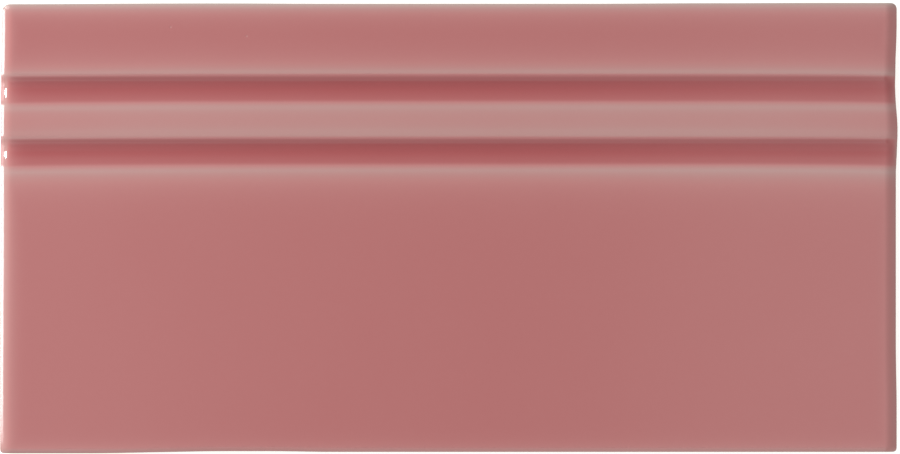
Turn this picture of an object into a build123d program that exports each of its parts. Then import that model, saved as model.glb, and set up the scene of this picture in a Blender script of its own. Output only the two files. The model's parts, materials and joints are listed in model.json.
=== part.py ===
from build123d import *
import os
from math import atan2, cos, dist, pi, radians, sin, tan

os.makedirs("parts", exist_ok=True)

# Ceramic skirting tile, lying on its back with the glazed face up.
# +X runs along the skirting, +Y points up the wall, +Z points out of the wall.

# overall size
length = 200.0
face_height = 100.0
field_thickness = 10.0
corner_radius = 0.8

# moulding down the face, from the top edge
strip_width = 16.0
groove_width = 5.7
band_width = 8.3
band_crown = 0.18

# how far the strip and the band lie below the field
strip_set_back = 0.6
band_set_back = 0.4

# section of a groove: steep under the upper lip, an easier slope up to the lower lip
groove_drop = 1.15
groove_upper_run = 1.9
upper_lip_radius = 1.8
lower_lip_radius = 10.0
cove_radius = 2.6

# most of a straight wall of the section that the curves at its two ends may take up, as a share
wall_share = 0.95

# how the face turns down into the four sides: a broad shoulder, a narrow facet, a tight arris
facet_slope_deg = 39.0
long_shoulder_radius = 1.5
long_facet_width = 0.2
end_shoulder_radius = 3.6
end_facet_width = 0.45
arris_radius = 0.4
arris_edge_slope_deg = 65.0
arris_reach_deg = 80.0

# keying channels pressed into the back
channel_count = 7
channel_pitch = 12.0
channel_width = 6.0
channel_depth = 0.8
channel_end_margin = 10.0
channel_draft_deg = 30.0
back_bevel = 0.5

# the swept body starts this far below the back, so that its rolled ends still reach the back
body_depth = 3.0
outline_block_height = field_thickness + body_depth

half_length = length / 2
half_height = face_height / 2
strip_thickness = field_thickness - strip_set_back
band_thickness = field_thickness - band_set_back
facet_slope = radians(facet_slope_deg)
arris_edge_slope = radians(arris_edge_slope_deg)

# the arris turns on a little past each side, and the outline of the tile trims it there
edge_y = half_height + arris_radius * (1 - sin(arris_edge_slope))
arris_run = arris_radius * (sin(arris_edge_slope) - sin(facet_slope))

# facet along the top and bottom edges, between the corners that its two curves round off
arris_tangent = arris_radius * tan((pi / 2 - facet_slope) / 2)
shoulder_tangent = long_shoulder_radius * tan(facet_slope / 2)
facet_run = long_facet_width + (arris_tangent + shoulder_tangent) * cos(facet_slope)
facet_drop = facet_run * tan(facet_slope)

# corners of the section as (Y, Z), down the face from the top edge
top_arris = (edge_y, strip_thickness - facet_drop)
top_shoulder = (edge_y - facet_run, strip_thickness)
groove_1_top = (half_height - strip_width, strip_thickness)
groove_1_foot = (groove_1_top[0] - groove_width, band_thickness)
groove_2_top = (groove_1_foot[0] - band_width, band_thickness)
groove_2_foot = (groove_2_top[0] - groove_width, field_thickness)
cove_1 = (groove_1_top[0] - groove_upper_run, strip_thickness - groove_drop)
cove_2 = (groove_2_top[0] - groove_upper_run, band_thickness - groove_drop)
band_middle = ((groove_1_foot[0] + groove_2_top[0]) / 2, band_thickness + band_crown)
bottom_shoulder = (facet_run - edge_y, field_thickness)
bottom_arris = (-edge_y, field_thickness - facet_drop)

rounded_corners = (
    (top_arris, arris_radius),
    (top_shoulder, long_shoulder_radius),
    (groove_1_top, upper_lip_radius),
    (cove_1, cove_radius),
    (groove_1_foot, lower_lip_radius),
    (groove_2_top, upper_lip_radius),
    (cove_2, cove_radius),
    (groove_2_foot, lower_lip_radius),
    (bottom_shoulder, long_shoulder_radius),
    (bottom_arris, arris_radius),
)


def fitted_radii():
    """The radius at each corner, less where the curves at both ends of a wall would meet."""
    line = [(edge_y, 0.0), *(corner for corner, radius in rounded_corners), (-edge_y, 0.0)]
    walls = list(zip(line, line[1:]))
    slopes = [atan2(z1 - z0, y0 - y1) for (y0, z0), (y1, z1) in walls]
    turns = [abs(after - before) for before, after in zip(slopes, slopes[1:])]
    reaches = [radius * tan(turn / 2) for (corner, radius), turn in zip(rounded_corners, turns)]
    fits = [1.0]
    for (start, end), before, after in zip(walls[1:], reaches, reaches[1:]):
        fits.append(min(1.0, wall_share * dist(start, end) / (before + after)))
    fits.append(1.0)
    return [radius * min(fit) for (corner, radius), fit in zip(rounded_corners, zip(fits, fits[1:]))]


# line that the section follows over an end, as (X, Z): flat run, shoulder, facet, arris
run_end = half_length - end_shoulder_radius * sin(facet_slope) - end_facet_width - arris_run
facet_start = (
    run_end + end_shoulder_radius * sin(facet_slope),
    end_shoulder_radius * (cos(facet_slope) - 1),
)
facet_end = (
    facet_start[0] + end_facet_width,
    facet_start[1] - end_facet_width * tan(facet_slope),
)
arris_centre = (
    facet_end[0] - arris_radius * sin(facet_slope),
    facet_end[1] - arris_radius * cos(facet_slope),
)

with BuildPart() as skirting_tile:
    # moulded section from the top edge to the bottom edge, drawn at mid length
    with BuildSketch(Plane.YZ) as section:
        with BuildLine():
            Polyline(
                groove_2_top,
                cove_2,
                groove_2_foot,
                bottom_shoulder,
                bottom_arris,
                (-edge_y, -body_depth),
                (edge_y, -body_depth),
                top_arris,
                top_shoulder,
                groove_1_top,
                cove_1,
                groove_1_foot,
            )
            ThreePointArc(groove_1_foot, band_middle, groove_2_top)
        make_face()
        for (corner, asked_radius), radius in zip(rounded_corners, fitted_radii()):
            fillet(section.vertices().sort_by_distance(corner)[0], radius)

    # the section runs along the tile and turns down over its end, keeping upright as it goes
    with BuildLine(Plane.XZ):
        Line((0, 0), (run_end, 0))
        CenterArc((run_end, -end_shoulder_radius), end_shoulder_radius, 90, -facet_slope_deg)
        Line(facet_start, facet_end)
        CenterArc(arris_centre, arris_radius, 90 - facet_slope_deg, facet_slope_deg - arris_reach_deg)
    sweep(normal=(1, 0, 0))
    mirror(about=Plane.YZ)

    # pressed outline: upright sides, small plan corners, flat back
    with BuildSketch(Plane.XY):
        RectangleRounded(length, face_height, corner_radius)
    extrude(amount=outline_block_height, mode=Mode.INTERSECT)

    # small bevel round the back, where the two halves of the die meet
    back = skirting_tile.faces().sort_by(Axis.Z)[0]
    chamfer(back.edges(), back_bevel)

    # keying channels for the adhesive, with sloped walls and rounded ends
    with BuildSketch(Plane.XY):
        with GridLocations(0, channel_pitch, 1, channel_count):
            SlotOverall(length - 2 * channel_end_margin, channel_width)
    extrude(amount=channel_depth, taper=channel_draft_deg, mode=Mode.SUBTRACT)

skirting_tile.part.label = "skirting_tile"
export_step(skirting_tile.part, "parts/skirting_tile.step")
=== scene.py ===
import json
from math import atan2, cos, pi, radians, sin, sqrt, tan

import bmesh
import bpy
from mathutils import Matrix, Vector

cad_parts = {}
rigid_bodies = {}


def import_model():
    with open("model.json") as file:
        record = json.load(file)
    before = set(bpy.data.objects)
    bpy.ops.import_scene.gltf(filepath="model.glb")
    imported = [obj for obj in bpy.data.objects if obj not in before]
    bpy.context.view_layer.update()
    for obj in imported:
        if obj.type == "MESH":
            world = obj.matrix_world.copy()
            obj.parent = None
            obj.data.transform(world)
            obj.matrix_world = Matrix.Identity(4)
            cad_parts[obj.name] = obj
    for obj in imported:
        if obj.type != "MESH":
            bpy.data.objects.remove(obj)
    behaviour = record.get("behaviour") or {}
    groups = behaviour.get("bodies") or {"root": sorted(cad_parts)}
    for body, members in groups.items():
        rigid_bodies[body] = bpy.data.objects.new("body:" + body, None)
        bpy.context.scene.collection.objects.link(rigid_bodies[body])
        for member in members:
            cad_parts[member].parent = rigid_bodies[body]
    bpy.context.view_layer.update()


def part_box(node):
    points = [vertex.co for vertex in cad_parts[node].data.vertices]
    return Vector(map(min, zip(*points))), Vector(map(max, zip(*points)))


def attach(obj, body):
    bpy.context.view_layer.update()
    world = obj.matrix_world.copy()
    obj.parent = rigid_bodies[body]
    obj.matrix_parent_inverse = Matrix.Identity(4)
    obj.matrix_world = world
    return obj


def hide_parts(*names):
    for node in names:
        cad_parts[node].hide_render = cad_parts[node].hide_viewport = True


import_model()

# Overall size of the tile, from the frame, in metres.
low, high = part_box("skirting_tile")
length = high.x - low.x
face_height = high.y - low.y
field_thickness = high.z - low.z
half_length = length / 2
half_height = face_height / 2

# Sizes as in the part's source, apart from the two top plan corners, which the kiln left rounder.
mm = 0.001
strip_width = 16.0 * mm
strip_set_back = 0.6 * mm
band_set_back = 0.4 * mm
groove_width = 5.7 * mm
band_width = 8.3 * mm
band_crown = 0.18 * mm
groove_drop = 1.15 * mm
groove_upper_run = 1.9 * mm
upper_lip_radius = 1.8 * mm
lower_lip_radius = 10.0 * mm
cove_radius = 2.6 * mm
facet_slope = radians(39)
long_shoulder_radius = 1.5 * mm
long_facet_width = 0.2 * mm
end_shoulder_radius = 3.6 * mm
end_facet_width = 0.45 * mm
arris_radius = 0.4 * mm
arris_edge_slope = radians(65)
arris_reach = radians(80)
body_depth = 3.0 * mm
corner_radii = {(1, 1): 1.25 * mm, (1, -1): 0.8 * mm, (-1, 1): 1.8 * mm, (-1, -1): 0.8 * mm}
back_bevel = 0.5 * mm

# The keying channels in the back, as in the part's source.
channel_count = 7
channel_pitch = 12.0 * mm
channel_width = 6.0 * mm
channel_depth = 0.8 * mm
channel_end_margin = 10.0 * mm
channel_draft = radians(30)

# Places worked out from those sizes.
strip_thickness = field_thickness - strip_set_back
band_thickness = field_thickness - band_set_back
arris_run = arris_radius * (sin(arris_edge_slope) - sin(facet_slope))
edge_y = half_height + arris_radius * (1 - sin(arris_edge_slope))
arris_tangent = arris_radius * tan((pi / 2 - facet_slope) / 2)
shoulder_tangent = long_shoulder_radius * tan(facet_slope / 2)
facet_run = long_facet_width + (arris_tangent + shoulder_tangent) * cos(facet_slope)
facet_drop = facet_run * tan(facet_slope)
facet_y = edge_y - facet_run
run_end = half_length - end_shoulder_radius * sin(facet_slope) - end_facet_width - arris_run
groove_1_top = half_height - strip_width
groove_1_foot = groove_1_top - groove_width
groove_2_top = groove_1_foot - band_width
groove_2_foot = groove_2_top - groove_width
cove_1 = groove_1_top - groove_upper_run
cove_2 = groove_2_top - groove_upper_run

# How finely the mesh is divided, from what angle on an edge stays sharp, and how near two places
# count as one.
row_step = 2.5 * mm
column_step = 2.5 * mm
shoulder_steps = 10
arris_steps = 4
lip_segments = 6
cove_segments = 9
crown_rows = 8
corner_segments = 5
wall_columns = 80
wall_rows = 40
channel_sides = 24
channel_overcut = 0.4 * mm
smooth_angle = radians(30)
touch = 0.01 * mm

# Where the sides wander after firing: which way a side faces, the place and half width of the
# part of it that moves, how far that moves out, and how far it pulls the clay about it along.
# What lies within the margin counts as the side.
side_wander = [
    ((0, 1), 0 * mm, 100 * mm, -0.03 * mm, 12 * mm),
    ((0, 1), -97 * mm, 5 * mm, -0.09 * mm, 18 * mm),
    ((0, 1), -53 * mm, 4 * mm, 0.08 * mm, 24 * mm),
    ((0, 1), 62 * mm, 4 * mm, 0.12 * mm, 28 * mm),
    ((0, 1), 96 * mm, 6 * mm, 0.17 * mm, 28 * mm),
    ((0, -1), 0 * mm, 100 * mm, 0.14 * mm, 12 * mm),
    ((0, -1), -90 * mm, 10 * mm, 0.3 * mm, 22 * mm),
    ((0, -1), -45 * mm, 6 * mm, -0.16 * mm, 14 * mm),
    ((1, 0), 46 * mm, 3 * mm, 0.24 * mm, 9 * mm),
    ((1, 0), 34 * mm, 1 * mm, -0.05 * mm, 6 * mm),
    ((1, 0), 20.5 * mm, 2 * mm, 0.4 * mm, 7 * mm),
    ((1, 0), -45 * mm, 5 * mm, 0.18 * mm, 14 * mm),
    ((-1, 0), 50 * mm, 3 * mm, -0.22 * mm, 22 * mm),
    ((-1, 0), 31 * mm, 1.5 * mm, 0.08 * mm, 3.5 * mm),
    ((-1, 0), 17 * mm, 1.5 * mm, 0.08 * mm, 3.5 * mm),
    ((-1, 0), -42 * mm, 8 * mm, 0.14 * mm, 40 * mm),
]
side_margin = 0.6 * mm

# The glaze: linear colour where it is thinnest, what one full depth of it takes away, and the
# depth that it has at least where red is concerned.
thin_glaze = (0.506, 0.235, 0.22)
glaze_absorption = (0.205, 0.65, 0.60)
red_floor = 0.4
glaze_roughness = 0.1
glaze_ior = 1.6
flat_depth = 0.88
depth_mottle = 0.08
mottle_size = 25 * mm
fine_mottle = 0.05
fine_mottle_size = 1.2 * mm

# Where the glaze pools in the grooves, measured down from each groove's upper lip: how deep it is
# under the lip, and by how much that eases further down.
pool_depth = 2.15
pool_easing = 0.55
pool_starts = (-0.8 * mm, 1.7 * mm)
pool_eases = (2.3 * mm, 4.6 * mm)
pool_ends = ((3.95 * mm, 7.2 * mm), (3.95 * mm, 7.4 * mm))
pool_wander = 0.12 * mm
pool_wander_size = 30 * mm
pool_left_gap = 1.3 * mm
pool_left_reach = 1.6 * mm
pool_right_reach = 1.3 * mm

# Towards the ends the pools and lips lie a little lower on the face: how much, and over what reach.
sag = 0.03 * mm
sag_left, sag_left_reach = 0.5 * mm, 25 * mm
sag_right, sag_right_reach = 0.42 * mm, 12 * mm

# What the strip and the band carry besides: their upper and lower limits, how much glaze all along,
# and how much more towards the left and the right end, which is painted shade that darkens the ends.
# It is even over a share of their width.
extra_glaze_and_end_shade = [
    (half_height, groove_1_top - 3.0 * mm, 0.0, 0.17, 0.0),
    (groove_1_foot - 1.0 * mm, groove_2_top - 1.5 * mm, 0.02, 0.26, 0.24),
]
extra_even_share = 0.5
end_shade_left_reach = 32 * mm
end_shade_right_reach = 22 * mm

# The field and the grooves carry less towards the right.
thins_from, thins_until = 10 * mm, 70 * mm
field_thins = 0.1
pools_thin = 0.07

# Where it thins towards the lips: place, way away from the groove, how thin, bare width and reach.
thin_lips = [
    (groove_1_top, 1, 0.95, 1.0 * mm, 2.75 * mm),
    (groove_1_foot, -1, 0.95, 1.0 * mm, 3.7 * mm),
    (groove_2_top, 1, 0.95, 1.0 * mm, 3.7 * mm),
    (groove_2_foot, -1, 1.0, 1.6 * mm, 3.4 * mm),
]
lip_blur = 0.5 * mm

# Where it thins towards the edges of the face, and how sharply one thinning gives way to another.
top_edge_thinning = 1.65
top_edge_eases = 0.1
top_edge_reach = 1.95 * mm
bottom_edge_thinning = 0.8
bottom_edge_reach = 1.35 * mm
left_end_thinning = 1.12
left_end_eases = 0.16
left_end_eases_below = -15 * mm
left_end_reach = 2.75 * mm
right_end_thinning = 0.62
right_end_reach = 2.4 * mm
rim_height = 8.3 * mm
rim_reach = 1.2 * mm
thinning_power = 3

# Where it stops on the sides, short of the back, in a bead, and the bare clay below.
glaze_line = 2.4 * mm
glaze_line_wander = 1.3 * mm
glaze_line_size = 14 * mm
glaze_line_blur = 0.15 * mm
glaze_bead = 0.9
glaze_bead_width = 0.5 * mm
bare_clay = (0.62, 0.53, 0.43)
bare_clay_stain = (0.50, 0.41, 0.32)
bare_clay_roughness = 0.85
stain_size = 18 * mm
stain_limits = (0.35, 0.75)

# The surface of glaze and clay: how high it stands, in millimetres, and the size of each rise.
glaze_peel, glaze_peel_size = 0.004, 4 * mm
glaze_swell, glaze_swell_size = 0.02, 38 * mm
clay_grain, clay_grain_size = 0.03, 0.6 * mm
roughness_wander, roughness_wander_size = 0.05, 9 * mm
fine_detail = 6.0

# Pinholes in the glaze of the strip.
pinholes = ((-62.0 * mm, 44.7 * mm), (-45.0 * mm, 42.7 * mm))
pinhole_radius = 0.16 * mm
pinhole_depth = 0.08

# A dull spot in the glaze of the top left corner.
dull_spot = (-98.5 * mm, 49.1 * mm)
dull_spot_radius = 0.45 * mm
dull_spot_roughness = 0.6

# The left rim is duller where the grooves run out: how far in, and from where to where on each
# groove, measured down from its upper lip.
dull_rim_roughness = 0.3
dull_rim_reach = (0.55 * mm, 0.75 * mm)
dull_rim_starts = (-0.3 * mm, 0.3 * mm)
dull_rim_ends = (5.2 * mm, 6.2 * mm)

# The surround: its strength, how much brighter it is overhead, at what height that comes, how much
# brighter still on both flanks, and how far to the left (-1) and right (1) the flanks come and go.
surround_strength = 0.5
overhead_glow = 0.2
overhead_limits = (0.5, 0.9)
flank_glow = 0.42
flank_comes = (0.015, 0.095)
flank_goes = {-1: (0.12, 0.45), 1: (0.05, 0.75)}

# The soft lights: azimuth from +X towards +Y, elevation, distance, width and height, watts.
key_light = (radians(149.3), radians(18), 1.1, (0.115, 0.24), 9.8)
fill_light = (radians(255), radians(30), 1.2, (1.25, 1.25), 3.0)
strip_light = (radians(178.3), radians(6.5), 0.75, (0.19, 0.17), 1.06)

# The floor and the camera.
floor_size = 4.0
floor_gap = 0.05 * mm
floor_shade = (0.6, 0.597, 0.58, 1.0)
floor_roughness = 0.9
floor_sheen = 0.1
floor_glow = 0.68
floor_glow_shade = (1.0, 0.99, 0.95, 1.0)
camera_height = 1.1
seen_width = 200.85 * mm
aim_x = 0.38 * mm
aim_y = 0.08 * mm


def deselect_all():
    for thing in bpy.context.view_layer.objects:
        thing.select_set(False)


def activate(piece):
    deselect_all()
    piece.select_set(True)
    bpy.context.view_layer.objects.active = piece


def add_block(name, lowest, highest):
    """A box between two corners, with its place in its mesh, left in edit mode."""
    deselect_all()
    lowest, highest = Vector(lowest), Vector(highest)
    bpy.ops.mesh.primitive_cube_add(size=1, location=(lowest + highest) / 2, scale=highest - lowest)
    block = bpy.context.object
    block.name = name
    bpy.ops.object.transform_apply(location=True, rotation=True, scale=True)
    bpy.ops.object.mode_set(mode="EDIT")
    return block


def pick(piece, kind, test):
    """Selects the vertices, edges or faces whose corners all pass the test."""
    bpy.ops.mesh.select_all(action="DESELECT")
    bpy.ops.mesh.select_mode(type=kind)
    shape = bmesh.from_edit_mesh(piece.data)
    if kind == "VERT":
        for corner in shape.verts:
            corner.select = test(corner.co)
    else:
        for item in shape.edges if kind == "EDGE" else shape.faces:
            item.select = all(test(corner.co) for corner in item.verts)
    shape.select_flush_mode()
    bmesh.update_edit_mesh(piece.data)


def cut_across(place, direction):
    """A loop of new edges round the whole piece, where a plane crosses it."""
    bpy.ops.mesh.select_all(action="SELECT")
    bpy.ops.mesh.bisect(plane_co=place, plane_no=direction)


def near(a, b):
    return abs(a - b) < touch


def apply_modifier(piece, kind, **settings):
    modifier = piece.modifiers.new(kind.lower(), kind)
    for name, value in settings.items():
        setattr(modifier, name, value)
    activate(piece)
    bpy.ops.object.modifier_apply(modifier=modifier.name)


def crown_height(y):
    """Height of the band's shallow arch at a place across it."""
    half = band_width / 2
    radius = (half**2 + band_crown**2) / (2 * band_crown)
    off = y - (groove_1_foot + groove_2_top) / 2
    return band_thickness + sqrt(radius**2 - off**2) - (radius - band_crown)


# The moulding's corners from the top edge down, each with the radius and the steps of its curve.
moulding = [
    (edge_y, strip_thickness - facet_drop, arris_radius, arris_steps),
    (facet_y, strip_thickness, long_shoulder_radius, shoulder_steps),
    (groove_1_top, strip_thickness, upper_lip_radius, lip_segments),
    (cove_1, strip_thickness - groove_drop, cove_radius, cove_segments),
    (groove_1_foot, band_thickness, lower_lip_radius, lip_segments),
    (groove_2_top, band_thickness, upper_lip_radius, lip_segments),
    (cove_2, band_thickness - groove_drop, cove_radius, cove_segments),
    (groove_2_foot, field_thickness, lower_lip_radius, lip_segments),
    (-facet_y, field_thickness, long_shoulder_radius, shoulder_steps),
    (-edge_y, field_thickness - facet_drop, arris_radius, arris_steps),
]


def corner_turns():
    """How far the section turns at each corner of the moulding."""
    line = [(edge_y, 0.0)] + [(y, z) for y, z, radius, steps in moulding] + [(-edge_y, 0.0)]
    headings = [atan2(b[1] - a[1], a[0] - b[0]) for a, b in zip(line, line[1:])]
    return [abs(after - before) for before, after in zip(headings, headings[1:])]


def end_profile():
    """Places out along and down over the end: a broad shoulder, a facet and a tight arris."""
    places = [(run_end, 0.0)]
    for step in range(1, shoulder_steps + 1):
        slope = facet_slope * step / shoulder_steps
        drop = end_shoulder_radius * (1 - cos(slope))
        places.append((run_end + end_shoulder_radius * sin(slope), -drop))
    out, down = places[-1]
    out += end_facet_width
    down -= end_facet_width * tan(facet_slope)
    places.append((out, down))
    for step in range(1, arris_steps + 1):
        slope = facet_slope + (arris_reach - facet_slope) * step / arris_steps
        along = arris_radius * (sin(slope) - sin(facet_slope))
        drop = arris_radius * (cos(facet_slope) - cos(slope))
        places.append((out + along, down - drop))
    return places


def model_face():
    """The moulded face on a body that is larger all round than the tile."""
    body = add_block("moulded_face", (0, -edge_y, -body_depth), (run_end, edge_y, field_thickness))
    for y, z, radius, steps in moulding[1:-1]:
        cut_across((0, y, 0), (0, 1, 0))
    crown_places = [
        groove_2_top + (groove_1_foot - groove_2_top) * step / crown_rows for step in range(1, crown_rows)
    ]
    for y in crown_places:
        cut_across((0, y, 0), (0, 1, 0))
    heights = [(y, z) for y, z, radius, steps in moulding]
    heights += [(y, crown_height(y)) for y in crown_places]
    for y, z in heights:
        pick(body, "VERT", lambda at: near(at.y, y) and at.z > 0)
        bpy.ops.transform.translate(value=(0, 0, z - field_thickness))
    for (y, z, radius, steps), turn in zip(moulding, corner_turns()):
        pick(body, "EDGE", lambda at: near(at.y, y) and near(at.z, z))
        bpy.ops.mesh.bevel(
            offset=radius * tan(turn / 2), offset_type="OFFSET", segments=steps, clamp_overlap=False
        )
    rows = int(face_height / row_step)
    for row in range(1, rows):
        y = -half_height + face_height * row / rows
        if y > groove_1_top + upper_lip_radius or y < groove_2_foot - lower_lip_radius:
            cut_across((0, y, 0), (0, 1, 0))
    columns = int(run_end / column_step)
    for column in range(1, columns):
        cut_across((run_end * column / columns, 0, 0), (1, 0, 0))
    places = end_profile()
    for (x, z), (next_x, next_z) in zip(places, places[1:]):
        pick(body, "FACE", lambda at: near(at.x, x))
        bpy.ops.mesh.extrude_region_move(TRANSFORM_OT_translate={"value": (next_x - x, 0, next_z - z)})
    pick(body, "FACE", lambda at: near(at.x, 0))
    bpy.ops.mesh.delete(type="FACE")
    bpy.ops.object.mode_set(mode="OBJECT")
    apply_modifier(body, "MIRROR", use_clip=True, merge_threshold=touch)
    return body


def model_outline():
    """A block with the tile's upright sides, small plan corners and bevelled back."""
    block = add_block(
        "outline", (-half_length, -half_height, 0), (half_length, half_height, 2 * field_thickness)
    )
    for (sign_x, sign_y), radius in corner_radii.items():
        corner_x, corner_y = sign_x * half_length, sign_y * half_height
        pick(block, "EDGE", lambda at: near(at.x, corner_x) and near(at.y, corner_y))
        bpy.ops.mesh.bevel(
            offset=radius, offset_type="OFFSET", segments=corner_segments, clamp_overlap=False
        )
    pick(block, "FACE", lambda at: near(at.z, 0))
    bpy.ops.mesh.bevel(offset=back_bevel, offset_type="OFFSET", segments=1)
    for column in range(1, wall_columns):
        cut_across((-half_length + length * column / wall_columns, 0, 0), (1, 0, 0))
    for row in range(1, wall_rows):
        cut_across((0, -half_height + face_height * row / wall_rows, 0), (0, 1, 0))
    bpy.ops.object.mode_set(mode="OBJECT")
    return block


def model_channels():
    """Cutters for the keying channels: a sloped plug, split and stretched, then repeated."""
    deselect_all()
    half_width = channel_width / 2
    sunk_radius = half_width - channel_depth * tan(channel_draft)
    grow = (half_width - sunk_radius) / channel_depth * channel_overcut
    bpy.ops.mesh.primitive_cone_add(
        vertices=channel_sides,
        radius1=half_width + grow,
        radius2=sunk_radius,
        depth=channel_depth + channel_overcut,
        location=(0, -channel_pitch * (channel_count - 1) / 2, (channel_depth - channel_overcut) / 2),
        rotation=(0, 0, pi / channel_sides),
    )
    cutter = bpy.context.object
    cutter.name = "channels"
    bpy.ops.object.transform_apply(location=True, rotation=True, scale=True)
    stretch = half_length - channel_end_margin - half_width
    bpy.ops.object.mode_set(mode="EDIT")
    for side in (1, -1):
        pick(cutter, "VERT", lambda at: at.x * side > 0)
        bpy.ops.transform.translate(value=(side * stretch, 0, 0))
    bpy.ops.object.mode_set(mode="OBJECT")
    apply_modifier(
        cutter,
        "ARRAY",
        count=channel_count,
        use_relative_offset=False,
        use_constant_offset=True,
        constant_offset_displace=(0, channel_pitch, 0),
    )
    return cutter


def press_tile():
    """The moulded face trimmed by the outline, with the channels sunk into its back."""
    piece = model_face()
    for tool, operation in ((model_outline(), "INTERSECT"), (model_channels(), "DIFFERENCE")):
        apply_modifier(piece, "BOOLEAN", object=tool, operation=operation, solver="EXACT")
        bpy.data.objects.remove(tool)
    let_sides_wander(piece)
    activate(piece)
    bpy.ops.object.shade_smooth_by_angle(angle=smooth_angle)
    piece.name = "glazed_tile"
    return piece


def let_sides_wander(piece):
    """Small pulls on the sides, as clay moves a little in the kiln."""
    activate(piece)
    bpy.ops.object.mode_set(mode="EDIT")
    for (out_x, out_y), place, half_width, amount, reach in side_wander:
        side = half_length if out_x else half_height

        def on_part(at):
            along = at.y if out_x else at.x
            return at.x * out_x + at.y * out_y > side - side_margin and abs(along - place) < half_width

        pick(piece, "VERT", on_part)
        bpy.ops.transform.translate(
            value=(amount * out_x, amount * out_y, 0),
            use_proportional_edit=True,
            proportional_edit_falloff="SMOOTH",
            proportional_size=reach,
        )
    bpy.ops.object.mode_set(mode="OBJECT")


class Wire:
    """A shader socket that takes part in Python sums; each operator adds a Math node."""

    def __init__(self, tree, socket):
        self.tree = tree
        self.socket = socket

    def node(self, kind, settings=None, **inputs):
        """Adds a node: settings first, then the values or links of its sockets.

        A socket is named with _ for a space, or numbered, as i0 for the first.
        """
        made = self.tree.nodes.new("ShaderNode" + kind)
        for name, value in (settings or {}).items():
            setattr(made, name, value)
        for name, value in inputs.items():
            key = int(name[1:]) if name[0] == "i" and name[1:].isdigit() else name.replace("_", " ")
            if isinstance(value, Wire):
                self.tree.links.new(value.socket, made.inputs[key])
            else:
                made.inputs[key].default_value = value
        return made

    def out(self, made, name=0):
        return Wire(self.tree, made.outputs[name])

    def math(self, operation, *values):
        inputs = {f"i{number}": value for number, value in enumerate(values)}
        return self.out(self.node("Math", {"operation": operation}, **inputs))

    def __add__(self, other):
        return self.math("ADD", self, other)

    def __radd__(self, other):
        return self.math("ADD", other, self)

    def __sub__(self, other):
        return self.math("SUBTRACT", self, other)

    def __rsub__(self, other):
        return self.math("SUBTRACT", other, self)

    def __mul__(self, other):
        return self.math("MULTIPLY", self, other)

    def __rmul__(self, other):
        return self.math("MULTIPLY", other, self)

    def __truediv__(self, other):
        return self.math("DIVIDE", self, other)

    def __rtruediv__(self, other):
        return self.math("DIVIDE", other, self)

    def __neg__(self):
        return self.math("MULTIPLY", self, -1.0)

    def __pow__(self, power):
        return self.math("POWER", self, power)

    def __abs__(self):
        return self.math("ABSOLUTE", self)

    def exp(self):
        return self.math("EXPONENT", self)

    def at_least(self, lowest):
        return self.math("MAXIMUM", self, lowest)

    def at_most(self, highest):
        return self.math("MINIMUM", self, highest)

    def blend(self, share, first, second):
        """A colour between two others."""
        made = self.node("Mix", {"data_type": "RGBA"}, i0=share, i6=first, i7=second)
        return self.out(made, 2)

    def noise(self, size, detail=2.0):
        """Soft chance variation over this place, about -0.5 to 0.5, in patches of the given size."""
        made = self.node("TexNoise", Vector=self, Scale=1 / size, Detail=detail)
        return self.out(made, "Fac") - 0.5

    def step(self, start, stop):
        """A smooth rise from 0 at start to 1 at stop."""
        made = self.node(
            "MapRange",
            {"interpolation_type": "SMOOTHSTEP"},
            Value=self,
            From_Min=start,
            From_Max=stop,
        )
        return self.out(made, "Result")


def spot(x, y, middle, radius):
    """1 at one place of the face, and fading away around it."""
    away = (x - middle[0]) ** 2 + (y - middle[1]) ** 2
    return (away / -(radius**2)).exp()


def pooled_glaze(below_lips, from_left, from_right, to_right):
    """What pools in the grooves, less towards both ends, and where each groove lies."""
    pooled = 0.0
    in_grooves = []
    for below, ends in zip(below_lips, pool_ends):
        inside = below.step(*pool_starts) * (1 - below.step(*ends))
        pooled = pooled + inside * (pool_depth - pool_easing * below.step(*pool_eases))
        in_grooves.append(inside)
    inset = (from_left - pool_left_gap).at_least(0.0)
    pooled = pooled * (1 - (inset / -pool_left_reach).exp()) * (1 - (from_right / -pool_right_reach).exp())
    return pooled * (1 - pools_thin * to_right), in_grooves


def thinned_glaze(across, y, from_left, from_right, to_right, on_face):
    """How much thinner the glaze is at the lips of the grooves and the edges of the face."""
    lips = 0.0
    for lip, side, amount, bare_width, reach in thin_lips:
        outward = (across - lip) * side
        beyond = (outward - bare_width).at_least(0.0)
        lips = lips + amount * (beyond / -reach).exp() * outward.step(-lip_blur, lip_blur)
    from_top = (half_height - y).at_least(0.0)
    from_bottom = (half_height + y).at_least(0.0)
    low_down = 1 - y.step(-half_height, left_end_eases_below)
    edges = [
        lips.at_most(1.0),
        top_edge_thinning * (1 - top_edge_eases * to_right) * (from_top / -top_edge_reach).exp(),
        bottom_edge_thinning * (from_bottom / -bottom_edge_reach).exp(),
        left_end_thinning * (1 - left_end_eases * low_down) * (-((from_left / left_end_reach) ** 2)).exp(),
        right_end_thinning * (-((from_right / right_end_reach) ** 2)).exp(),
    ]
    thinning = 0.0
    for edge in edges:
        thinning = thinning + (edge * on_face) ** thinning_power
    return thinning ** (1 / thinning_power)


def further_glaze_and_end_shade(y, from_left, from_right, to_right):
    """What the strip and the band carry besides, with painted shade towards their ends, and what the field
    lacks towards the right.
    """
    extra = -field_thins * to_right * (groove_2_foot - y).step(-lip_blur, lip_blur)
    for upper_limit, lower_limit, along, shade_at_left, shade_at_right in extra_glaze_and_end_shade:
        half_width = (upper_limit - lower_limit) / 2
        off_middle = abs(y - (upper_limit + lower_limit) / 2)
        # the amounts towards the left and right ends are painted shade, not glaze
        amount = along + shade_at_left * (from_left / -end_shade_left_reach).exp()
        amount = amount + shade_at_right * (from_right / -end_shade_right_reach).exp()
        extra = extra + amount * (1 - off_middle.step(half_width * extra_even_share, half_width))
    return extra


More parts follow.
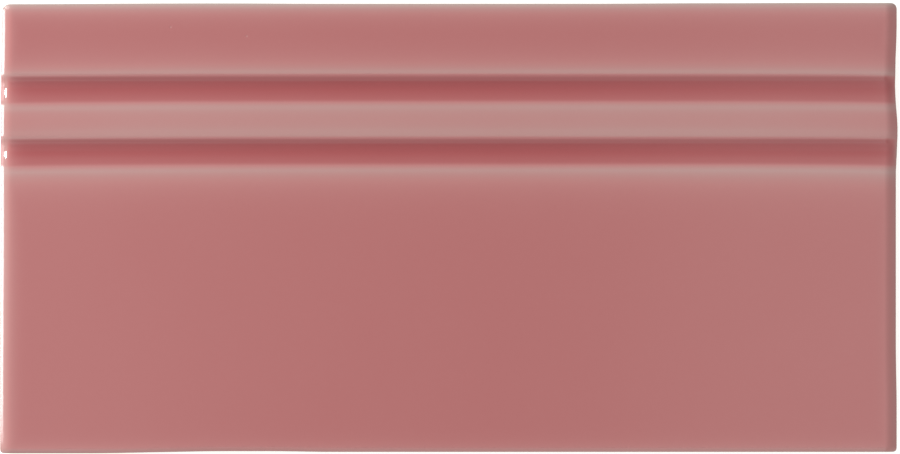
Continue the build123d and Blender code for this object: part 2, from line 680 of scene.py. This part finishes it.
def glaze_depth(place, x, y, z):
    """Depth of the glaze: pooled in the grooves, thin on the lips and towards the edges of the face."""
    from_left, from_right = half_length + x, half_length - x
    to_right = x.step(thins_from, thins_until)
    on_face = ((rim_height - z).at_least(0.0) / -rim_reach).exp()
    lower = sag + sag_left * (from_left / -sag_left_reach).exp()
    lower = lower + sag_right * (from_right / -sag_right_reach).exp()
    across = y + lower
    wander = pool_wander * place.noise(pool_wander_size)

    below_lips = [top - across + wander for top in (groove_1_top, groove_2_top)]
    pooled, in_grooves = pooled_glaze(below_lips, from_left, from_right, to_right)
    land = flat_depth - thinned_glaze(across, y, from_left, from_right, to_right, on_face)
    for inside in in_grooves:
        land = land * (1 - inside * on_face)
    # the extra depth towards the ends of the strip and the band is painted shade
    extra = further_glaze_and_end_shade(y, from_left, from_right, to_right)
    mottle = depth_mottle * place.noise(mottle_size) + fine_mottle * place.noise(fine_mottle_size)
    return land + pooled + extra + mottle


def glaze_dullness(x, y):
    """How much rougher the glaze is at its dull spot, and on the left rim where the grooves run out."""
    dull = dull_spot_roughness * spot(x, y, dull_spot, dull_spot_radius)
    on_rim = 1 - (half_length + x).step(*dull_rim_reach)
    for top in (groove_1_top, groove_2_top):
        below = top - y
        at_groove = below.step(*dull_rim_starts) * (1 - below.step(*dull_rim_ends))
        dull = dull + dull_rim_roughness * on_rim * at_groove
    return dull


def glaze_finish():
    """Glossy translucent pink glaze on the face and sides, and bare clay on the back."""
    material = bpy.data.materials.new("pink_glaze")
    material.use_nodes = True
    tree = material.node_tree
    shader = tree.nodes["Principled BSDF"]
    start = Wire(tree, None)
    place = start.out(start.node("TexCoord"), "Object")
    split = start.node("SeparateXYZ", Vector=place)
    x, y, z = (start.out(split, axis) for axis in "XYZ")

    above_line = z - glaze_line - glaze_line_wander * place.noise(glaze_line_size)
    glazed = above_line.step(-glaze_line_blur, glaze_line_blur)
    bead = (abs(above_line) / -glaze_bead_width).exp()
    specks = 0.0
    for pinhole in pinholes:
        specks = specks + spot(x, y, pinhole, pinhole_radius)

    depth = glaze_depth(place, x, y, z) + glaze_bead * bead - specks
    layers = (depth.at_least(red_floor), depth, depth)
    red, green, blue = (
        thin * (layer * -loss).exp() for thin, layer, loss in zip(thin_glaze, layers, glaze_absorption)
    )
    glaze = start.out(start.node("CombineColor", Red=red, Green=green, Blue=blue))
    stain = (place.noise(stain_size, fine_detail) + 0.5).step(*stain_limits)
    clay = start.blend(stain, (*bare_clay, 1.0), (*bare_clay_stain, 1.0))
    colour = start.blend(glazed, clay, glaze)
    tree.links.new(colour.socket, shader.inputs["Base Color"])

    roughness = bare_clay_roughness - (bare_clay_roughness - glaze_roughness) * glazed
    roughness = roughness + roughness_wander * place.noise(roughness_wander_size)
    roughness = roughness + glaze_dullness(x, y)
    tree.links.new(roughness.socket, shader.inputs["Roughness"])
    shader.inputs["IOR"].default_value = glaze_ior

    waves = glaze_peel * place.noise(glaze_peel_size) + glaze_swell * place.noise(glaze_swell_size)
    grain = clay_grain * place.noise(clay_grain_size, fine_detail)
    height = waves * glazed + grain * (1 - glazed) - pinhole_depth * specks
    bump = start.node("Bump", Height=height, Distance=mm)
    tree.links.new(bump.outputs["Normal"], shader.inputs["Normal"])
    return material


def softbox(name, azimuth, elevation, distance, size, watts):
    """A rectangular area light that faces the tile; azimuth turns from +X towards +Y."""
    light = bpy.data.lights.new(name, "AREA")
    light.shape = "RECTANGLE"
    light.size, light.size_y = size
    light.energy = watts
    lamp = bpy.data.objects.new(name, light)
    bpy.context.scene.collection.objects.link(lamp)
    away = Vector((cos(azimuth) * cos(elevation), sin(azimuth) * cos(elevation), sin(elevation)))
    lamp.location = away * distance
    lamp.rotation_mode = "QUATERNION"
    lamp.rotation_quaternion = away.to_track_quat("Z", "Y")


def light_studio():
    """A pale surround, brighter overhead, with three soft lights in it."""
    world = bpy.data.worlds.new("pale_surround")
    bpy.context.scene.world = world
    world.use_nodes = True
    background = world.node_tree.nodes["Background"]
    background.inputs["Color"].default_value = (1.0, 1.0, 1.0, 1.0)
    start = Wire(world.node_tree, None)
    split = start.node("SeparateXYZ", Vector=start.out(start.node("TexCoord"), "Generated"))
    aside, height = start.out(split, "X"), start.out(split, "Z")
    flank = 0.0
    for side, limits in flank_goes.items():
        away = aside * side
        flank = flank + away.step(*flank_comes) * (1 - away.step(*limits))
    glow = (overhead_glow + flank_glow * flank) * height.step(*overhead_limits)
    world.node_tree.links.new((surround_strength + glow).socket, background.inputs["Strength"])
    softbox("key", *key_light)
    softbox("fill", *fill_light)
    softbox("low_strip", *strip_light)


def lay_floor():
    """A plain pale floor, which glows for the camera alone, so that it looks nearly white."""
    deselect_all()
    bpy.ops.mesh.primitive_plane_add(size=floor_size, location=(0, 0, -floor_gap))
    floor = bpy.context.object
    floor.name = "floor"
    material = bpy.data.materials.new("pale_floor")
    material.use_nodes = True
    shader = material.node_tree.nodes["Principled BSDF"]
    shader.inputs["Base Color"].default_value = floor_shade
    shader.inputs["Roughness"].default_value = floor_roughness
    shader.inputs["Specular IOR Level"].default_value = floor_sheen
    shader.inputs["Emission Color"].default_value = floor_glow_shade
    start = Wire(material.node_tree, None)
    seen = start.out(start.node("LightPath"), "Is Camera Ray") * floor_glow
    material.node_tree.links.new(seen.socket, shader.inputs["Emission Strength"])
    floor.data.materials.append(material)


def place_camera():
    """Straight above the tile, with a lens that takes in just its length."""
    camera = bpy.data.cameras.new("camera")
    camera.lens = camera.sensor_width * camera_height / seen_width
    holder = bpy.data.objects.new("camera", camera)
    holder.location = (aim_x, aim_y, field_thickness + camera_height)
    bpy.context.scene.collection.objects.link(holder)
    bpy.context.scene.camera = holder


tile = press_tile()
tile.data.materials.clear()
tile.data.materials.append(glaze_finish())
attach(tile, "root")
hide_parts("skirting_tile")
lay_floor()
light_studio()
place_camera()
bpy.context.scene.view_settings.view_transform = "Standard"
